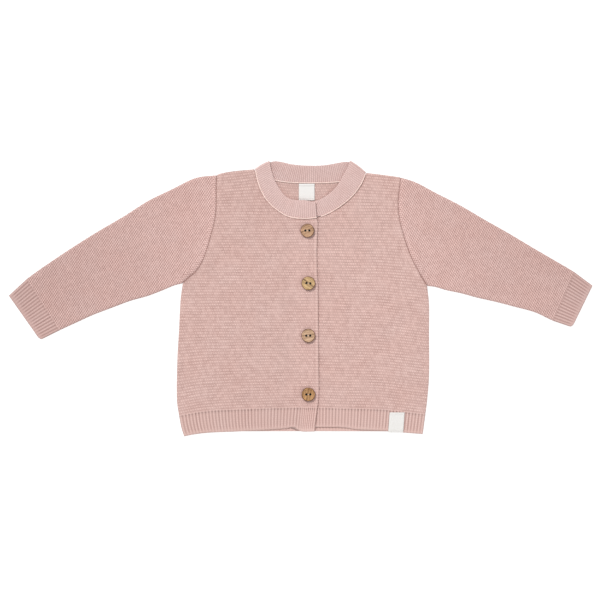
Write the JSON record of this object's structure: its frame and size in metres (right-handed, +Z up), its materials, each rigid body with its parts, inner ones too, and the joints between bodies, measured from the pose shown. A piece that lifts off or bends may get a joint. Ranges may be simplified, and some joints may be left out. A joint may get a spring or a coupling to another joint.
{
  "type": "baby cardigan",
  "caption": "Flat-laid dusty pink knitted baby cardigan with ribbed neckband, cuffs and hem, and wooden buttons down the front",
  "frame": {"origin": "on the surface that the garment rests on, under the middle of its outline", "axes": "+X to the wearer's left, the right of the garment as seen from above; +Y towards the neck; +Z up from the surface"},
  "size_m": [0.6425, 0.3024, 0.0113],
  "materials": {
    "knit": "matte garter knit",
    "rib": "matte fine rib knit",
    "label": "smooth woven tape",
    "dark_wood": "satin",
    "light_wood": "satin"
  },
  "bodies": {
    "root": {"back": "knit", "front_right": "knit", "front_left": "knit", "sleeve_right": "knit", "sleeve_left": "knit", "neckband": "rib", "neck_label": "label", "hem_label": "label", "button_1": "dark_wood", "button_2": "light_wood", "button_3": "light_wood", "button_4": "dark_wood"}
  },
  "joints": []
}
